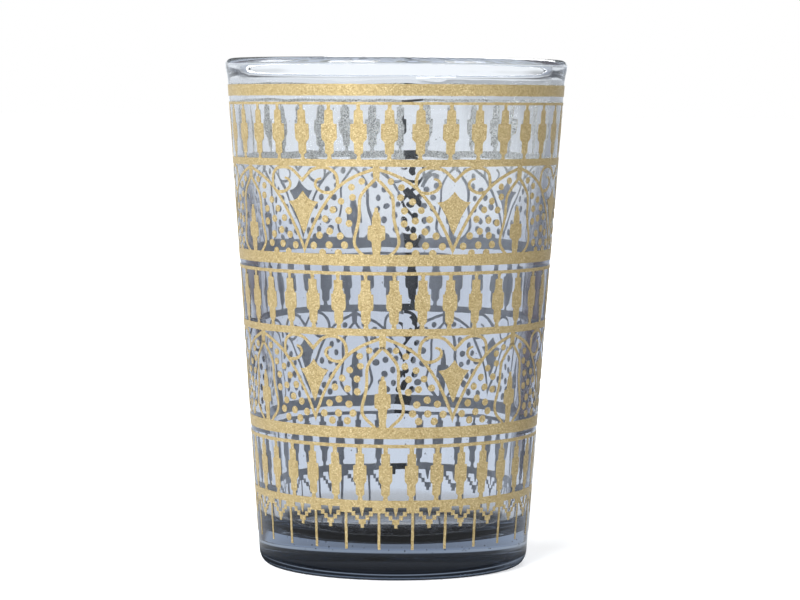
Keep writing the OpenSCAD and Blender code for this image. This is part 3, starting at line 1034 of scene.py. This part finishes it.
def cut_at_seam(piece, first_at, mid_r, row):
    start = math.radians(drawn_at(row, SEAM_START) - first_at) + SEAM_HAIR
    end = math.radians(drawn_at(row, SEAM_AT) - first_at) - SEAM_HAIR
    cut(piece, start * mid_r, "left", True)
    cut(piece, end * mid_r, "right", True)


def cells(piece, at, mid_r, row, merge=False):
    applied(piece, "MIRROR", use_mirror_merge=merge, merge_threshold=WELD_GAP)
    repeated(piece, BAYS, 2 * HALF_BAY * mid_r, merge)
    first_at = at - BAYS / 2 * BAY
    cut_at_seam(piece, first_at, mid_r, row)
    pick(piece)
    bpy.ops.object.mode_set(mode="EDIT")
    bpy.ops.mesh.select_all(action="SELECT")
    bpy.ops.mesh.normals_make_consistent(inside=False)
    bpy.ops.object.mode_set(mode="OBJECT")
    return rolled(piece, first_at, mid_r, row)


# %% The tracery of both arcades
for row, at in ARCADES.items():
    top, foot = registers[row + "_arcade"]
    mid_r = cone_r((top + foot) / 2)
    half_w = HALF_BAY * mid_r
    strokes = [(ARCH, 1, STROKE_W), (LANCET, 1, STROKE_W), (SCROLL, 1, STROKE_W),
        (CURL, 0.6, STROKE_W), (SPIRE, 0.7, SPIRE_W)]
    lines = [ribbon(smoothed(placed(line, top, mid_r), STROKE_STEPS), width, tip)
        for line, tip, width in strokes]
    drawn = [traced("stroke", line, FILM["stroke"]) for line in lines]
    tracery = joined(row + "_tracery_film", drawn)
    pick(tracery)
    bpy.ops.object.mode_set(mode="EDIT")
    bpy.ops.mesh.select_all(action="SELECT")
    bpy.ops.mesh.intersect_boolean(operation="UNION", solver="EXACT", use_self=True)
    bpy.ops.object.mode_set(mode="OBJECT")
    cut(tracery, 0, "left")
    cut(tracery, half_w, "right")
    strips(tracery, 0, half_w)
    gilded(cells(tracery, at, mid_r, row, True), row + "_tracery")
    print(row, "tracery:", len(tracery.data.vertices), "vertices")

# %% [markdown]
# A finial stands under each apex, a diamond hangs in each spandrel, and dots fill the ground
# between the arch and the lancet. Finial and diamond are one outline each, traced down one side
# and mirrored. The dots are small discs that grow a little downward, as the print is pulled.

# %% Finials, diamonds and dots
FINIAL = [(0, 0.438), (0.022, 0.44), (0.026, 0.488), (0.042, 0.493), (0.046, 0.535), (0.055, 0.54),
    (0.058, 0.628), (0.104, 0.634), (0.112, 0.66), (0.115, 0.72), (0.112, 0.785), (0.085, 0.792),
    (0.062, 0.81), (0.058, 0.9), (0.05, 0.91), (0.048, 0.965), (0.055, 1.01)]
DIAMOND = [(0, 0.267), (0.035, 0.305), (0.08, 0.345), (0.14, 0.373), (0.23, 0.384),
    (0.17, 0.44), (0.115, 0.52), (0.07, 0.6), (0.035, 0.68), (0, 0.735)]
DOTS = [(0.182, 0.158), (0.315, 0.222), (0.304, 0.33), (0.457, 0.375), (0.569, 0.468),
    (0.356, 0.473), (0.68, 0.568), (0.495, 0.582), (0.354, 0.613), (0.622, 0.7),
    (0.768, 0.747), (0.476, 0.75), (0.857, 0.86), (0.634, 0.85), (0.42, 0.848),
    (0.73, 0.935), (0.506, 0.935)]
DOT_R = 0.61 * MM

# %% [markdown]
# Where the ends of the print meet, torn shreds of gold are left. They are a few slanted ribbons
# a little lower than the print, joined into the film of the dots. Each is a width and a line of
# places, in millimetres to the side of the seam and up.

# %% Shreds at the seam
SHRED_STEPS, SHRED_TIP = 4, 0.5
SHREDS = {
    "upper": [(1.25, [(2.2, 65.8), (2.9, 64.9), (3.6, 64.0), (4.5, 63.2), (5.0, 62.4)]),
        (0.5, [(0.6, 65.0), (1.4, 64.0), (1.9, 62.9), (2.3, 62.0), (3.1, 61.0), (3.7, 60.3)]),
        (0.95, [(3.4, 69.9), (3.2, 69.1), (3.5, 68.4)]),
        (0.7, [(5.2, 66.2), (5.6, 67.2), (6.5, 68.3), (7.9, 68.7)]),
        (0.9, [(2.3, 58.9), (2.7, 58.1)]), (0.6, [(1.2, 57.6), (2.4, 57.3), (4.4, 57.5)])],
    "lower": [(1.1, [(3.2, 41.9), (3.9, 41.0), (3.5, 40.2)]),
        (0.6, [(3.3, 39.6), (2.6, 38.4), (2.5, 36.9)]), (0.8, [(2.9, 35.6), (3.0, 34.4)]),
        (0.55, [(2.6, 33.0), (2.0, 31.6), (2.3, 30.4)]), (1.3, [(2.3, 29.3), (1.8, 27.9)])]}


# %% Finials and diamonds
SAME_POINT = 0.01 * MM


def motifs(row, kind, side, top, at, mid_r):
    outline = both_sides(placed(side, top, mid_r))
    outline = [p for i, p in enumerate(outline) if math.dist(p, outline[i - 1]) > SAME_POINT]
    piece = traced(row + "_" + kind + "_film", closer(outline), FILM[kind])
    low = min(x for x, z in outline)
    strips(piece, low, -low, MOTIF_STRIP_W)
    repeated(piece, BAYS + 1, 2 * HALF_BAY * mid_r)
    first_at = at - BAYS / 2 * BAY
    cut_at_seam(piece, first_at, mid_r, row)
    gilded(rolled(piece, first_at, mid_r, row), row + "_" + kind)
    print(row, kind + ":", len(piece.data.vertices), "vertices")


for row, at in ARCADES.items():
    top, foot = registers[row + "_arcade"]
    mid_r = cone_r((top + foot) / 2)
    motifs(row, "finials", FINIAL, top, at, mid_r)
    motifs(row, "diamonds", DIAMOND, top, at + BAY / 2, mid_r)

# %% Half a bay of dots
DOT_SIDES = 16
DOT_GROWTH = (0.9, 0.2)


def half_bay_of_dots(row, top, mid_r):
    inner, outer = FILM["dots"]
    start, growth = DOT_GROWTH
    deselect_all()
    for i, (x, depth) in enumerate(DOTS):
        bpy.ops.mesh.primitive_circle_add(vertices=DOT_SIDES, fill_type="NGON",
            radius=DOT_R * (start + growth * depth), rotation=(math.pi / 2, 0, 0),
            location=(x * HALF_BAY * mid_r, inner, top - depth * ARCADE_H))
        if i == 0:
            dots = bpy.context.object
            dots.name = row + "_dots_film"
            bpy.ops.object.transform_apply(location=True, rotation=True, scale=True)
            bpy.ops.object.mode_set(mode="EDIT")
    bpy.ops.mesh.select_all(action="SELECT")
    bpy.ops.mesh.extrude_region_move(TRANSFORM_OT_translate={"value": (0, -inner - outer, 0)})
    bpy.ops.mesh.select_all(action="SELECT")
    bpy.ops.mesh.normals_make_consistent(inside=False)
    bpy.ops.object.mode_set(mode="OBJECT")
    return dots


# %% Dots and shreds
SHREDS_AT = 180
for row, at in ARCADES.items():
    top, foot = registers[row + "_arcade"]
    mid_r = cone_r((top + foot) / 2)
    dots = half_bay_of_dots(row, top, mid_r)
    cells(dots, at, mid_r, row)
    torn = []
    for width, line in SHREDS[row]:
        line = smoothed([(-x * MM, z * MM) for x, z in line], SHRED_STEPS)
        torn.append(traced("shred", closer(ribbon(line, width * MM, SHRED_TIP)), FILM["shred"]))
    shreds = rolled(joined("shreds", torn), SHREDS_AT, mid_r)
    gilded(joined(row + "_dots_film", [dots, shreds]), row + "_dots")
    print(row, "dots:", len(dots.data.vertices), "vertices")

# %% [markdown]
# ## The hem
#
# Stepped chevrons hang from the lowest ring, open in the middle with a short prong, and a thin
# stick runs down between each two. All edges are straight, so the outline is a plain list of
# steps. The sticks reach over the dark foot, where they show brightest.

# %% The hem
STICK_AT = -5.7
STICK_PITCH = BAY / 4
STICK_W = 0.47 * MM
STICK_TOP = 1.2
STICK_H = 7.4 * MM
STEP_H = 0.64 * MM
MOST_STICKS = 30
OUTER_STEPS = [(1.0, -0.4), (1.0, 1.5), (0.64, 1.5), (0.64, 2.4), (0.42, 2.4), (0.42, 3.45),
    (0.21, 3.45), (0.21, 4.6), (0.1, 4.6), (0.1, 5.65)]
INNER_STEPS = [(0.0, 3.3), (0.2, 3.2), (0.2, 2.2), (0.41, 2.2), (0.41, 1.1), (0.62, 1.1),
    (0.62, -0.4)]
PRONG = [(0.16, -0.4), (0.12, 0.6), (0.03, 2.4)]
mid_r = cone_r(HEM_TOP - 3 * STEP_H)
half_pitch = math.radians(STICK_PITCH / 2) * mid_r


def stepped(shares):
    return [(x * half_pitch, HEM_TOP - depth * STEP_H) for x, depth in shares]


def along_hem(piece, at, reach):
    all_places = [at + k * STICK_PITCH for k in range(-MOST_STICKS, MOST_STICKS + 1)]
    places = [place for place in all_places
        if place - reach > SEAM_START and place + reach < SEAM_AT]
    repeated(piece, len(places), math.radians(STICK_PITCH) * mid_r)
    print(piece.name, len(places))
    return rolled(piece, places[0], mid_r)


# %% Chevrons and sticks
outer_side = stepped(OUTER_STEPS)
inner_side = stepped(INNER_STEPS)
outline = outer_side + [(-x, z) for x, z in outer_side[::-1]]
outline += [(-x, z) for x, z in inner_side[:0:-1]] + inner_side
chevron = traced("hem_chevrons_film", closer(outline), FILM["stroke"])
prong = traced("prong", closer(both_sides(stepped(PRONG))), FILM["stroke"])
chevron = joined("hem_chevrons_film", [chevron, prong])
strips(chevron, -half_pitch, half_pitch, HEM_STRIP_W)
gilded(along_hem(chevron, STICK_AT + STICK_PITCH / 2, STICK_PITCH / 2), "hem_chevrons")
stick_side = [(STICK_W / 2, HEM_TOP - STICK_TOP * STEP_H), (STICK_W / 2, HEM_TOP - STICK_H)]
stick = traced("hem_sticks_film", closer(both_sides(stick_side)), FILM["stick"])
gilded(along_hem(stick, STICK_AT, STICK_PITCH / 4), "hem_sticks")
